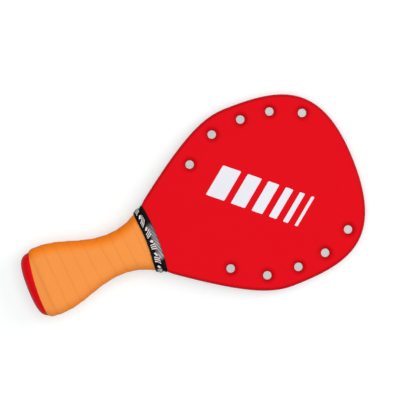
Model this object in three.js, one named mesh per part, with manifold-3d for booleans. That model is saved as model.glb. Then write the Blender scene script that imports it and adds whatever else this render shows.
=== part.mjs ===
// A frescobol racket in millimetres. X runs from the butt of the handle to the tip of the head,
// Y across the face and Z out of the front face. The origin is at the middle of the racket.
// The head is a foam panel in a moulded edge frame, closed by a laminate skin on each face and
// drilled with ten holes, whose mouths are dished. The handle is a core between two cheeks, with
// a cushion sleeve, a grip ribbon wound round it and a finishing band at the throat.

import * as THREE from 'three';
import { mergeVertices } from 'three/addons/utils/BufferGeometryUtils.js';
import Module from 'manifold-3d';

const wasm = await Module();
wasm.setup();

// Outline of the bare racket, seen from the front and measured from the butt
const racketLength = 400;
const headWidth = 217;
const headWidestAt = 285;
const shoulderWidth = 90;
const shoulderAt = 160;
const shoulderSlopeShare = 0.74;
const waistWidth = 43.6;
const waistAt = 107;
const flareWidth = 76.4;
const flareAt = 26;

// Where the two control points of each stretch of the outline stand, as shares of its run
const buttCurveShares = [1.06, 0.68];
const handleCurveShares = [0.364, 0.383];
const throatCurveShares = [0.617, 0.073];
const flankCurveShares = [0.712, 0.211];
const crownCurveShares = [0.578, 0.911];
const stretchSteps = [8, 8, 5, 9, 16];
const fineFactor = 8;

// Layers of the blade and of the handle, from the middle outwards
const coreThickness = 13;
const skinThickness = 1.5;
const cheekThickness = 5;
const headEdgeRadius = 4;
const handleEdgeRadius = 10.5;
const edgeBlendStart = 118;
const edgeBlendEnd = 172;
const rimWidth = 6;
const bondGap = 0.3;

// The handle core ends and the foam begins here; the cheeks run out down a ramp
const coreJointAt = 138;
const cheekRampStart = 148;
const cheekRampEnd = 156;

// Ten drilled holes, five down each side. Each stands in from the outline, at a share of the way
// along the flank or the crown, by its own share of the inset
const holeDiameter = 10;
const holeInset = 18.2;
const flankHoleShares = [
  [0.453, 1.156],
  [0.78, 0.962],
];
const crownHoleShares = [
  [0.066, 0.982],
  [0.269, 1.005],
  [0.531, 0.889],
];
const dishRadius = 11.4;
const dishDepth = 3.8;
const collarWall = 1.2;
const collarDepth = 4.7;
const collarFlare = 2.4;

// Cushion sleeve, wound grip and finishing band
const gripStart = 9.6;
const gripEnd = 147.5;
const gripStartBow = 7;
const gripBowMiddleShare = -0.42;
const cushionInset = 11;
const cushionThickness = 0.7;
const wrapClearance = 0.3;
const ribbonWidth = 22;
const ribbonPitch = 15;
const ribbonThickness = 0.45;
const ribbonSelfGap = 0.5;
const ribbonTailWidth = 6.9;
const windingStartShare = 0.59;
const firstTurnFlatShare = 0.85;
const bandStart = 145.8;
const bandEnd = 159.6;
const bandButtBow = 2.5;
const bandHeadBow = 4.8;
const bandThickness = 0.6;
const bandShoulderAt = 148.5;
const bandFootAt = 157;

// Facets
const holeFacets = 16;
const dishSteps = 3;
const cornerSteps = 4;
const flatStationShares = [0.5, 0, -0.5];
const cushionSteps = 18;
const bandSlopeSteps = 3;
const ribbonAcross = 4;
const gapSamples = 40;
const cutOverrun = 1;

const coreHalf = coreThickness / 2;
const bladeHalf = coreHalf + skinThickness;
const handleHalf = bladeHalf + cheekThickness;

// Outline

function outlineCurves() {
  const point = (x, y) => new THREE.Vector2(x, y);
  const butt = point(0, 0);
  const flare = point(flareAt, flareWidth / 2);
  const waist = point(waistAt, waistWidth / 2);
  const shoulder = point(shoulderAt, shoulderWidth / 2);
  const widest = point(headWidestAt, headWidth / 2);
  const tip = point(racketLength, 0);
  const slope = point(1, shoulderSlopeShare).normalize();
  const handleRun = waist.x - flare.x;
  const throatRun = shoulder.x - waist.x;
  const flankRun = widest.x - shoulder.x;
  const crownRun = tip.x - widest.x;
  return [
    new THREE.CubicBezierCurve(
      butt,
      point(0, flare.y * buttCurveShares[0]),
      point(flare.x * (1 - buttCurveShares[1]), flare.y),
      flare,
    ),
    new THREE.CubicBezierCurve(
      flare,
      point(flare.x + handleRun * handleCurveShares[0], flare.y),
      point(waist.x - handleRun * handleCurveShares[1], waist.y),
      waist,
    ),
    new THREE.CubicBezierCurve(
      waist,
      point(waist.x + throatRun * throatCurveShares[0], waist.y),
      shoulder.clone().addScaledVector(slope, -throatRun * throatCurveShares[1]),
      shoulder,
    ),
    new THREE.CubicBezierCurve(
      shoulder,
      shoulder.clone().addScaledVector(slope, flankRun * flankCurveShares[0]),
      point(widest.x - flankRun * flankCurveShares[1], widest.y),
      widest,
    ),
    new THREE.CubicBezierCurve(
      widest,
      point(widest.x + crownRun * crownCurveShares[0], widest.y),
      point(tip.x, widest.y * crownCurveShares[1]),
      tip,
    ),
  ];
}

const curves = outlineCurves();

// The +Y half of the outline, from the butt to the tip, each point with its outward normal
function halfOutline(steps) {
  const points = [];
  curves.forEach((curve, stretch) => {
    for (let step = 0; step < steps[stretch]; step += 1) {
      points.push(outlinePoint(curve, step / steps[stretch]));
    }
  });
  points.push(outlinePoint(curves[curves.length - 1], 1));
  return points;
}

function outlinePoint(curve, share) {
  const place = curve.getPointAt(share);
  const along = curve.getTangentAt(share);
  return { x: place.x, y: place.y, nx: -along.y, ny: along.x };
}

// The whole outline, anticlockwise when seen from the front
function wholeOutline() {
  const half = halfOutline(stretchSteps);
  const lower = half.map((p) => ({ x: p.x, y: -p.y, nx: p.nx, ny: -p.ny }));
  const upper = half.slice(1, -1).reverse();
  return [...lower, ...upper];
}

const outline = wholeOutline();
const fineHalf = halfOutline(stretchSteps.map((count) => count * fineFactor));

// Half width of the bare racket at a distance from the butt
function halfWidthAt(x) {
  const next = Math.max(1, fineHalf.findIndex((p) => p.x >= x));
  const a = fineHalf[next - 1];
  const b = fineHalf[next];
  return THREE.MathUtils.mapLinear(x, a.x, b.x, a.y, b.y);
}

// How far the rounded edge has drawn in at a height above the middle plane
function roundInset(height, half, radius) {
  const rise = Math.max(0, height - (half - radius));
  return radius - Math.sqrt(Math.max(0, radius * radius - rise * rise));
}

function edgeInset(x, height) {
  const share = THREE.MathUtils.smoothstep(x, edgeBlendStart, edgeBlendEnd);
  const handleInset = roundInset(height, handleHalf, handleEdgeRadius);
  const headInset = roundInset(height, bladeHalf, headEdgeRadius);
  return THREE.MathUtils.lerp(handleInset, headInset, share);
}

// The outline drawn in by an amount that may change from point to point, at one height
function outlineLoop(z, insetOf) {
  return outline.map((p) => {
    const inset = insetOf(p);
    return new THREE.Vector3(p.x - p.nx * inset, p.y - p.ny * inset, z);
  });
}

const edgeLoop = (z) => outlineLoop(z, (p) => edgeInset(p.x, Math.abs(z)));
const insetLoop = (z, inset) => outlineLoop(z, () => inset);

// Closed surfaces from loops of points

function geometryFrom(points, faces) {
  const geometry = new THREE.BufferGeometry().setFromPoints(points);
  geometry.setIndex(faces);
  geometry.computeVertexNormals();
  return geometry;
}

function wallFaces(first, levels, count, inward) {
  const faces = [];
  for (let level = 0; level < levels - 1; level += 1) {
    for (let i = 0; i < count; i += 1) {
      const a = first + level * count + i;
      const b = first + level * count + ((i + 1) % count);
      const quad = [a, b, b + count, a, b + count, a + count];
      faces.push(...(inward ? quad.reverse() : quad));
    }
  }
  return faces;
}

// Loops stacked in order, anticlockwise seen from the last; capsOf gives a loop's own triangles
function stackedSolid(loops, capsOf) {
  const count = loops[0].length;
  const last = (loops.length - 1) * count;
  const faces = wallFaces(0, loops.length, count, false);
  capsOf(loops[0]).forEach(([a, b, c]) => faces.push(c, b, a));
  capsOf(loops[loops.length - 1]).forEach(([a, b, c]) => faces.push(last + a, last + b, last + c));
  return geometryFrom(loops.flat(), faces);
}

const flatCaps = (loop) => THREE.ShapeUtils.triangulateShape(
  loop.map((p) => new THREE.Vector2(p.x, p.y)),
  [],
);

// A tube or a ring: an outer and an inner wall joined by a strip at each end
function hollowSolid(outer, inner) {
  const count = outer[0].length;
  const innerFirst = outer.length * count;
  const innerLast = innerFirst + (inner.length - 1) * count;
  const outerLast = innerFirst - count;
  const faces = [
    ...wallFaces(0, outer.length, count, false),
    ...wallFaces(innerFirst, inner.length, count, true),
  ];
  for (let i = 0; i < count; i += 1) {
    const j = (i + 1) % count;
    faces.push(i, innerFirst + i, innerFirst + j, i, innerFirst + j, j);
    faces.push(outerLast + i, outerLast + j, innerLast + j);
    faces.push(outerLast + i, innerLast + j, innerLast + i);
  }
  return geometryFrom([...outer.flat(), ...inner.flat()], faces);
}

// Joining and cutting

function toSolid(geometry) {
  const bare = geometry.clone();
  bare.deleteAttribute('normal');
  bare.deleteAttribute('uv');
  const merged = mergeVertices(bare);
  const corners = merged.index.array;
  const triVerts = [];
  for (let i = 0; i < corners.length; i += 3) {
    const [a, b, c] = [corners[i], corners[i + 1], corners[i + 2]];
    if (a !== b && b !== c && c !== a) triVerts.push(a, b, c);
  }
  const mesh = new wasm.Mesh({
    numProp: 3,
    vertProperties: new Float32Array(merged.attributes.position.array),
    triVerts: new Uint32Array(triVerts),
  });
  return new wasm.Manifold(mesh);
}

function toGeometry(solid) {
  const mesh = solid.getMesh();
  const geometry = new THREE.BufferGeometry();
  geometry.setAttribute('position', new THREE.BufferAttribute(mesh.vertProperties, mesh.numProp));
  geometry.setIndex(new THREE.BufferAttribute(mesh.triVerts, 1));
  geometry.computeVertexNormals();
  return geometry;
}

// A round tool or boss: a profile of [radius, height] turned about an upright axis
function turned(profile, place) {
  const points = profile.map(([radius, height]) => new THREE.Vector2(radius, height));
  const geometry = new THREE.LatheGeometry(points, holeFacets);
  geometry.rotateX(Math.PI / 2);
  geometry.translate(place.x, place.y, 0);
  return toSolid(geometry);
}

function block(x0, x1, halfY, halfZ) {
  const geometry = new THREE.BoxGeometry(x1 - x0, halfY * 2, halfZ * 2);
  geometry.translate((x0 + x1) / 2, 0, 0);
  return toSolid(geometry);
}

// Holes

function holePlaces() {
  const [flank, crown] = curves.slice(-2);
  const row = (curve, shares) => shares.map(([alongShare, insetShare]) => {
    const edge = outlinePoint(curve, alongShare);
    const inset = holeInset * insetShare;
    return new THREE.Vector2(edge.x - edge.nx * inset, edge.y - edge.ny * inset);
  });
  const upper = [...row(flank, flankHoleShares), ...row(crown, crownHoleShares)];
  return upper.flatMap((place) => [place, new THREE.Vector2(place.x, -place.y)]);
}

const boreRadius = holeDiameter / 2;
const collarRadius = boreRadius + collarWall;
const collarFoot = bladeHalf - collarDepth;

// The collar hangs under the skin round each bore; a margin round it gives the foam's recess
function collarProfile(margin, top) {
  return [
    [0, collarFoot - margin],
    [collarRadius + margin, collarFoot - margin],
    [collarRadius + collarFlare + margin, coreHalf],
    [collarRadius + collarFlare + margin, top],
    [0, top],
  ];
}

// The drilled bore with its mouth rounded over into a shallow dish
function mouthProfile() {
  const reach = dishRadius - boreRadius;
  const curve = [];
  for (let step = 0; step <= dishSteps; step += 1) {
    const angle = (Math.PI / 2) * (1 - step / dishSteps);
    curve.push([
      dishRadius - reach * Math.sin(angle),
      bladeHalf - dishDepth * (1 - Math.cos(angle)),
    ]);
  }
  return [
    [0, collarFoot - cutOverrun],
    [boreRadius, collarFoot - cutOverrun],
    ...curve,
    [dishRadius, bladeHalf + cutOverrun],
    [0, bladeHalf + cutOverrun],
  ];
}

// Blade pieces

function skinGeometry() {
  const levelShares = [0, 0.62, 0.9, 1];
  const loops = levelShares.map((share) => edgeLoop(coreHalf + skinThickness * share));
  let solid = toSolid(stackedSolid(loops, flatCaps));
  for (const place of holePlaces()) {
    solid = solid.add(turned(collarProfile(0, coreHalf + skinThickness / 2), place));
  }
  for (const place of holePlaces()) {
    solid = solid.subtract(turned(mouthProfile(), place));
  }
  return toGeometry(solid);
}

function edgeFrameGeometry() {
  const straightHalf = handleHalf - handleEdgeRadius;
  const outer = [-coreHalf, -straightHalf, straightHalf, coreHalf].map(edgeLoop);
  const inner = [-coreHalf, coreHalf].map((z) => insetLoop(z, rimWidth));
  return hollowSolid(outer, inner);
}

function coreBlock() {
  const loops = [-coreHalf, coreHalf].map((z) => insetLoop(z, rimWidth + bondGap));
  return toSolid(stackedSolid(loops, flatCaps));
}

function foamCoreGeometry() {
  let solid = coreBlock().subtract(
    block(-cutOverrun, coreJointAt + bondGap, headWidth, coreThickness),
  );
  const recess = collarProfile(bondGap, coreHalf + cutOverrun);
  const faceUp = (place) => turned(recess, place);
  for (const place of holePlaces()) {
    const bore = turned([
      [0, -coreThickness],
      [boreRadius, -coreThickness],
      [boreRadius, coreThickness],
      [0, coreThickness],
    ], place);
    solid = solid.subtract(faceUp(place)).subtract(faceUp(place).scale([1, 1, -1])).subtract(bore);
  }
  return toGeometry(solid);
}

function handleCoreGeometry() {
  const beyond = block(coreJointAt, racketLength + cutOverrun, headWidth, coreThickness);
  return toGeometry(coreBlock().subtract(beyond));
}

// Each cheek is glued on the skin, rounded to the handle's section, and runs out at the throat
function cheekGeometry() {
  const straightHalf = handleHalf - handleEdgeRadius;
  const footAngle = Math.asin((bladeHalf - straightHalf) / handleEdgeRadius);
  const stepAngle = Math.PI / 2 / cornerSteps;
  const angles = [footAngle];
  for (let step = 1; step <= cornerSteps; step += 1) {
    if (step * stepAngle > footAngle + stepAngle / 4) angles.push(step * stepAngle);
  }
  const loops = angles.map((angle, index) => insetLoop(
    index === 0 ? bladeHalf : straightHalf + handleEdgeRadius * Math.sin(angle),
    handleEdgeRadius * (1 - Math.cos(angle)),
  ));
  const ramp = new THREE.Shape([
    new THREE.Vector2(cheekRampStart, handleHalf),
    new THREE.Vector2(cheekRampEnd, bladeHalf),
    new THREE.Vector2(cheekRampEnd, bladeHalf - cutOverrun),
    new THREE.Vector2(racketLength + cutOverrun, bladeHalf - cutOverrun),
    new THREE.Vector2(racketLength + cutOverrun, handleHalf + cutOverrun),
    new THREE.Vector2(cheekRampStart, handleHalf + cutOverrun),
  ]);
  const cutter = new THREE.ExtrudeGeometry(ramp, { depth: headWidth, bevelEnabled: false });
  cutter.rotateX(Math.PI / 2);
  cutter.translate(0, headWidth / 2, 0);
  return toGeometry(toSolid(stackedSolid(loops, flatCaps)).subtract(toSolid(cutter)));
}

// Handle section

// Stations round a rounded section, from the +Y side over the front face to the back
function sectionStations() {
  const stations = [];
  for (let corner = 0; corner < 4; corner += 1) {
    const sideY = corner === 0 || corner === 3 ? 1 : -1;
    const sideZ = corner < 2 ? 1 : -1;
    for (let step = 0; step <= cornerSteps; step += 1) {
      const angle = (Math.PI / 2) * (corner + step / cornerSteps);
      stations.push({ sideY, sideZ, dy: Math.cos(angle), dz: Math.sin(angle) });
    }
    if (corner % 2 === 1) continue;
    for (const share of flatStationShares) {
      stations.push({ sideY: sideY * share, sideZ, dy: 0, dz: sideZ });
    }
  }
  return stations;
}

const stations = sectionStations();

// The corners' facets stand outside the true arc, so that no sleeve bites into the wood
const facetReachShare = 1 / Math.cos(Math.PI / 4 / cornerSteps);

function sectionPoint(x, station, size) {
  const reach = size.radius * facetReachShare;
  return new THREE.Vector3(
    x,
    station.sideY * (size.halfWidth - size.radius) + station.dy * reach,
    station.sideZ * (size.half - size.radius) + station.dz * reach,
  );
}

// The handle's section at x, grown outwards by an offset
function handleSize(x, offset) {
  return {
    halfWidth: halfWidthAt(x) + offset,
    half: handleHalf + offset,
    radius: handleEdgeRadius + offset,
  };
}

const handleLoop = (x, offset) => stations.map((s) => sectionPoint(x, s, handleSize(x, offset)));

// Share of the way round the waist section at which each station lies
function sharesRound() {
  const loop = handleLoop(waistAt, 0);
  const lengths = [0];
  for (let i = 1; i <= loop.length; i += 1) {
    lengths.push(lengths[i - 1] + loop[i - 1].distanceTo(loop[i % loop.length]));
  }
  return lengths.slice(0, -1).map((length) => length / lengths[loop.length]);
}

const roundShares = sharesRound();
const windingStart = roundShares.findIndex((share) => share >= windingStartShare);

// Handle pieces

const cushionStart = gripStart + cushionInset;
const cushionEnd = gripEnd - wrapClearance;
const cushionOuter = wrapClearance + cushionThickness;

function cushionGeometry() {
  const loopsAt = (offset) => Array.from({ length: cushionSteps + 1 }, (_, step) => handleLoop(
    THREE.MathUtils.lerp(cushionStart, cushionEnd, step / cushionSteps),
    offset,
  ));
  return hollowSolid(loopsAt(cushionOuter), loopsAt(wrapClearance));
}

// The ribbon's first edge bows round the butt, so it starts nearer the head on the +Y side
function gripEdgeAt(station) {
  const { y } = sectionPoint(flareAt, station, handleSize(flareAt, 0));
  const share = (y / (flareWidth / 2) - gripBowMiddleShare) / (1 - gripBowMiddleShare);
  return gripStart + gripStartBow * share * share;
}

// From that edge, where it lies on the bare handle, the ribbon climbs onto the cushion
function ribbonBase(x, station) {
  const low = wrapClearance;
  const high = cushionOuter + wrapClearance;
  const edge = gripEdgeAt(station);
  const share = THREE.MathUtils.clamp((x - edge) / (cushionStart - wrapClearance * 2 - edge), 0, 1);
  return THREE.MathUtils.lerp(low, high, share);
}

const ribbonClimb = (ribbonThickness + ribbonSelfGap) / ribbonPitch;

// One line across the ribbon, from its butt edge to its head edge, under or over its thickness.
// The first turn lies flat on the bare handle, and each later one climbs onto the turn before.
function ribbonLine(ring, lift, steps) {
  const place = windingStart + ring;
  const index = place % stations.length;
  const turns = Math.floor(place / stations.length) + roundShares[index] - roundShares[windingStart];
  const headEdge = gripStart + ribbonTailWidth + ribbonPitch * turns;
  const climb = ribbonClimb * THREE.MathUtils.smoothstep(turns, firstTurnFlatShare, 1);
  const from = Math.max(gripEdgeAt(stations[index]), headEdge - ribbonWidth);
  const to = Math.min(gripEnd, headEdge);
  return Array.from({ length: steps + 1 }, (_, step) => {
    const x = THREE.MathUtils.lerp(from, to, step / steps);
    const offset = ribbonBase(x, stations[index]) + climb * (headEdge - x) + lift;
    return sectionPoint(x, stations[index], handleSize(x, offset));
  });
}

function ribbonRings() {
  const run = gripEnd - gripStart + ribbonWidth - ribbonTailWidth * 2;
  return Math.floor((run / ribbonPitch) * stations.length);
}

function overgripGeometry() {
  const loops = [];
  for (let ring = 0; ring <= ribbonRings(); ring += 1) {
    loops.push([
      ...ribbonLine(ring, 0, ribbonAcross),
      ...ribbonLine(ring, ribbonThickness, ribbonAcross).reverse(),
    ]);
  }
  const caps = [];
  for (let k = 0; k < ribbonAcross; k += 1) {
    const far = 2 * ribbonAcross + 1 - k;
    caps.push([k, k + 1, far - 1], [k, far - 1, far]);
  }
  return stackedSolid(loops, () => caps);
}

// The least distance between the top of one turn and the underside of the next, on points
function leastRibbonGap() {
  const between = (ring, lift) => {
    const a = ribbonLine(ring, lift, gapSamples);
    const b = ribbonLine(ring + 1, lift, gapSamples);
    return [...a, ...a.map((p, i) => p.clone().lerp(b[i], 1 / 2))];
  };
  let least = Infinity;
  for (let ring = 0; ring + stations.length < ribbonRings(); ring += 1) {
    const below = between(ring, ribbonThickness);
    const above = between(ring + stations.length, 0);
    for (const p of below) {
      for (const q of above) least = Math.min(least, p.distanceTo(q));
    }
  }
  return least;
}

// The band grips the end of the ribbon, then runs down the throat to the blade. Both its edges
// bow towards the butt at the sides.
function bandGeometry() {
  const overGrip = cushionOuter + wrapClearance + ribbonClimb * ribbonWidth
    + ribbonThickness + wrapClearance;
  const slope = [];
  for (let step = 0; step <= bandSlopeSteps; step += 1) slope.push(step / bandSlopeSteps);
  const pointAt = (x, station, down, lift) => {
    const sunk = THREE.MathUtils.clamp((x - bandShoulderAt) / (bandFootAt - bandShoulderAt), 0, 1);
    const offset = THREE.MathUtils.lerp(overGrip, wrapClearance, down) + lift;
    return sectionPoint(x, station, {
      halfWidth: halfWidthAt(x) + offset,
      half: THREE.MathUtils.lerp(handleHalf, bladeHalf, sunk) + offset,
      radius: THREE.MathUtils.lerp(handleEdgeRadius, headEdgeRadius, sunk) + offset,
    });
  };
  const lineAt = (station, lift) => {
    const side = sectionPoint(bandFootAt, station, handleSize(bandFootAt, 0));
    const out = side.y / halfWidthAt(bandFootAt);
    const foot = bandFootAt - bandHeadBow * out * out;
    return [
      pointAt(bandStart - bandButtBow * out * out, station, 0, lift),
      ...slope.map((down) => pointAt(
        THREE.MathUtils.lerp(bandShoulderAt, foot, down),
        station,
        down,
        lift,
      )),
      pointAt(bandEnd - bandHeadBow * out * out, station, 1, lift),
    ];
  };
  const loopsAt = (lift) => {
    const lines = stations.map((station) => lineAt(station, lift));
    return lines[0].map((_, ring) => lines.map((line) => line[ring]));
  };
  return hollowSolid(loopsAt(bandThickness), loopsAt(0));
}

// Materials

const finishes = {
  lacquer: { color: 0xe2131e, roughness: 0.38, metalness: 0 },
  frame: { color: 0xc8141e, roughness: 0.42, metalness: 0 },
  foam: { color: 0xe9e4dc, roughness: 0.9, metalness: 0 },
  wood: { color: 0xc79a63, roughness: 0.7, metalness: 0 },
  cushion: { color: 0x3a3a3c, roughness: 0.95, metalness: 0 },
  grip: { color: 0xf2903c, roughness: 0.72, metalness: 0 },
  band: { color: 0x1b1b1d, roughness: 0.45, metalness: 0 },
};

function piece(name, geometry, finish) {
  const mesh = new THREE.Mesh(geometry, new THREE.MeshStandardMaterial(finishes[finish]));
  mesh.name = name;
  return mesh;
}

// Assembly

// A half turn about X carries a front piece to the back, because the outline is symmetric
function onBack(mesh) {
  const side = new THREE.Group();
  side.rotation.x = Math.PI;
  side.add(mesh);
  return side;
}

const skin = skinGeometry();
const cheek = cheekGeometry();
const racket = new THREE.Group();
racket.position.x = -racketLength / 2;
racket.add(
  piece('foam_core', foamCoreGeometry(), 'foam'),
  piece('handle_core', handleCoreGeometry(), 'wood'),
  piece('edge_frame', edgeFrameGeometry(), 'frame'),
  piece('front_skin', skin, 'lacquer'),
  onBack(piece('back_skin', skin.clone(), 'lacquer')),
  piece('front_cheek', cheek, 'lacquer'),
  onBack(piece('back_cheek', cheek.clone(), 'lacquer')),
  piece('cushion_sleeve', cushionGeometry(), 'cushion'),
  piece('overgrip', overgripGeometry(), 'grip'),
  piece('finishing_band', bandGeometry(), 'band'),
);
console.log(`overgrip: least gap to itself ${leastRibbonGap().toFixed(3)} mm`);

export default racket;
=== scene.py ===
import math
from bisect import bisect_left
from functools import partial

import bmesh
import bpy
from mathutils import Matrix, Vector, noise
from mathutils.geometry import delaunay_2d_cdt


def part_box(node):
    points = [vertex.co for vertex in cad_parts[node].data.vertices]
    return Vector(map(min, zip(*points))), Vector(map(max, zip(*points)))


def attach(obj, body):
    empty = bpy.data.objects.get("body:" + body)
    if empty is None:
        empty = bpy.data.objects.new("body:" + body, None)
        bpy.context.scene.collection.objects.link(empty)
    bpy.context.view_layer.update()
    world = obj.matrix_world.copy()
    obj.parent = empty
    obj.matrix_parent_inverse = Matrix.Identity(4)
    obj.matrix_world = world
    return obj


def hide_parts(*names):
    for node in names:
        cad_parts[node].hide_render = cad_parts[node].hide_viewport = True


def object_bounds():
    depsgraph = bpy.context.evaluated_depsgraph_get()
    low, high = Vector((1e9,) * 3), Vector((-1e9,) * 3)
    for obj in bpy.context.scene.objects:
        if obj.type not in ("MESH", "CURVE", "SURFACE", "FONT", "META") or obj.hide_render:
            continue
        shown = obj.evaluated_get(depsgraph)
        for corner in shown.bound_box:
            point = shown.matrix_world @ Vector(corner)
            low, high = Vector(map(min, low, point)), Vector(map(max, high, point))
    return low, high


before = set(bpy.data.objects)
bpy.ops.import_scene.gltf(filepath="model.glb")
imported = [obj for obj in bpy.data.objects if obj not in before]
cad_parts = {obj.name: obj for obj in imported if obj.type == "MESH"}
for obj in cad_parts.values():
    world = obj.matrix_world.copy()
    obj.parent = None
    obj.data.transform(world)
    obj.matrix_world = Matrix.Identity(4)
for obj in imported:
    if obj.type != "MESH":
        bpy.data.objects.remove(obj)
cad_low, cad_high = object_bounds()
mm = 0.001


# Handle core
# A block of pale wood that runs from the butt to the foam, sawn to the same outline. It is glued
# between the two skins and carries the cheeks of the handle, and nothing of it shows.

def new_node(tree, kind, inputs=None, **settings):
    """A new node with its settings, and with a value or a link on each input that is named."""
    node = tree.nodes.new(kind)
    for setting, value in settings.items():
        setattr(node, setting, value)
    for socket, value in (inputs or {}).items():
        if isinstance(value, bpy.types.NodeSocket):
            tree.links.new(value, node.inputs[socket])
        else:
            node.inputs[socket].default_value = value
    return node


def put(tree, kind, inputs=None, **settings):
    """The first output of a new node."""
    return new_node(tree, kind, inputs, **settings).outputs[0]


def maths(tree, operation, *values):
    """The result of one Math node."""
    return put(tree, "ShaderNodeMath", dict(enumerate(values)), operation=operation)


def linear(*seen):
    """The colour that is seen as these values, from 0 to 255, in full light."""
    shares = [value / 255 for value in seen]
    return (*(s / 12.92 if s <= 0.04045 else ((s + 0.055) / 1.055) ** 2.4 for s in shares), 1.0)


def new_material(name, plain):
    """A node material with plain values on its shader: itself, its tree, shader and coordinates."""
    made = bpy.data.materials.new(name)
    made.use_nodes = True
    tree = made.node_tree
    shader = tree.nodes["Principled BSDF"]
    for socket, value in plain.items():
        shader.inputs[socket].default_value = value
    return made, tree, shader, new_node(tree, "ShaderNodeTexCoord").outputs["Object"]


def add_sockets(tree, in_out, kinds):
    """Gives a tree its named inputs or outputs."""
    for name, kind in kinds.items():
        tree.interface.new_socket(name, in_out=in_out, socket_type=f"NodeSocket{kind}")


def shader_group(name, inputs, outputs):
    """An empty shader group with its named sockets, and those of its input and output nodes."""
    tree = bpy.data.node_groups.new(name, "ShaderNodeTree")
    add_sockets(tree, "INPUT", inputs)
    add_sockets(tree, "OUTPUT", outputs)
    return tree, tree.nodes.new("NodeGroupInput").outputs, tree.nodes.new("NodeGroupOutput").inputs


def noise_texture(tree, place, scale, detail):
    """A smooth random value from 0 to 1."""
    given = {"Vector": place, "Scale": scale, "Detail": detail}
    return put(tree, "ShaderNodeTexNoise", given)


def mixed(tree, share, first, second):
    """One colour that turns into another: the node's colours go in at 6 and 7, and out at 2."""
    return new_node(tree, "ShaderNodeMix", {0: share, 6: first, 7: second}, data_type="RGBA").outputs[2]


def toned(tree, colour, tone):
    """A colour made lighter or darker by a tone round 1."""
    plain = colour if isinstance(colour, bpy.types.NodeSocket) else colour[:3]
    return put(tree, "ShaderNodeVectorMath", {0: plain, "Scale": tone}, operation="SCALE")


def dress(tree, shader, colour, height, relief, roughness=None):
    """Feeds the shader its colour, a height that makes its relief, and any roughness that varies."""
    tree.links.new(colour, shader.inputs["Base Color"])
    if roughness is not None:
        tree.links.new(roughness, shader.inputs["Roughness"])
    bump = {"Height": height, "Distance": relief, "Strength": 1.0}
    tree.links.new(put(tree, "ShaderNodeBump", bump), shader.inputs["Normal"])


def grain_group():
    """Close grain over a slow unevenness: a height from 0 to 1, and a tone round 1."""
    tree, given, result = shader_group(
        "grain",
        {"Vector": "Vector", "Grain Scale": "Float", "Cloud Scale": "Float", "Tone Change": "Float"},
        {"Height": "Float", "Tone": "Float"},
    )
    close = noise_texture(tree, given["Vector"], given["Grain Scale"], detail=3)
    slow = noise_texture(tree, given["Vector"], given["Cloud Scale"], detail=2)
    spread = maths(tree, "SUBTRACT", slow, 0.5)
    tree.links.new(close, result["Height"])
    tree.links.new(maths(tree, "MULTIPLY_ADD", spread, given["Tone Change"], 1.0), result["Tone"])
    return tree


grain = grain_group()


def grained(tree, place, grain_scale, cloud_scale, tone_change):
    """The grain group placed in a material: its height and its tone."""
    sizes = {"Grain Scale": grain_scale, "Cloud Scale": cloud_scale, "Tone Change": tone_change}
    node = new_node(tree, "ShaderNodeGroup", {"Vector": place, **sizes}, node_tree=grain)
    return node.outputs["Height"], node.outputs["Tone"]


wood_pale = linear(214, 176, 122)
wood_dark = linear(170, 124, 74)
wood_stretch_share = 0.05
wood_pore_depth = 0.1 * mm


def wood_material():
    """Straight-grained wood: growth rings along the handle, and fine pores drawn out with them."""
    made, tree, shader, place = new_material("pale_wood", {"Roughness": 0.7})
    stretch = {"Vector": place, "Scale": (wood_stretch_share, 1, 1)}
    along = put(tree, "ShaderNodeMapping", stretch)
    waves = {"Vector": along, "Scale": 110, "Distortion": 5, "Detail": 2, "Detail Scale": 2}
    rings = new_node(tree, "ShaderNodeTexWave", waves, wave_type="RINGS", rings_direction="X")
    pores, tone = grained(tree, along, grain_scale=2600, cloud_scale=180, tone_change=0.2)
    colour = mixed(tree, rings.outputs["Fac"], wood_pale, wood_dark)
    dress(tree, shader, toned(tree, colour, tone), pores, wood_pore_depth)
    return made


handle_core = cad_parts["handle_core"]
handle_core.data.materials.clear()
handle_core.data.materials.append(wood_material())


# Foam panel
# The middle of the head is a slab of closed-cell foam, sawn to the outline inside the edge frame.
# It is drilled for the ten holes, with a conical recess round each mouth for the skin's collar,
# and glued between the two skins.

butt = cad_low.x
tip = cad_high.x
flare = Vector((butt + 26 * mm, 38.2 * mm))
waist = Vector((butt + 107 * mm, 21.8 * mm))
shoulder = Vector((butt + 160 * mm, 45 * mm))
widest = Vector((butt + 285 * mm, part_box("edge_frame")[1].y))
lengthwise = Vector((1, 0))
shoulder_slope = Vector((1, 0.74)).normalized()
# The outline crosses butt and tip squarely, and its corners there are shares of the width nearby.
butt_rise = Vector((0, flare.y / (flare.x - butt)))
tip_rise = Vector((0, widest.y / (tip - widest.x)))
edge_knots = [
    (Vector((butt, 0)), butt_rise),
    (flare, lengthwise),
    (waist, lengthwise),
    (shoulder, shoulder_slope),
    (widest, lengthwise),
    (Vector((tip, 0)), tip_rise),
]
edge_shares = [(1.06, -0.68), (0.364, -0.383), (0.617, -0.073), (0.712, -0.211), (0.578, 0.911)]
edge_counts = [44, 44, 26, 44, 80]
table_steps = 200


def edge_stretch(start, end, shares):
    """The corners of one curve of the outline: two knots, and a corner along the heading of each."""
    (first, first_heading), (last, last_heading) = start, end
    run = last.x - first.x
    between = first + first_heading * run * shares[0], last + last_heading * run * shares[1]
    return first, *between, last


edge_stretches = [
    edge_stretch(*knots, shares) for *knots, shares in zip(edge_knots, edge_knots[1:], edge_shares)
]


def on_curve(corners, t):
    """A point of a cubic Bezier curve and its normal, which points out of the racket."""
    a, b, c, d = corners
    s = 1 - t
    place = a * s**3 + b * (3 * s * s * t) + c * (3 * s * t * t) + d * t**3
    along = (b - a) * (s * s) + (c - b) * (2 * s * t) + (d - c) * (t * t)
    return place, Vector((-along.y, along.x)).normalized()


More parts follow.
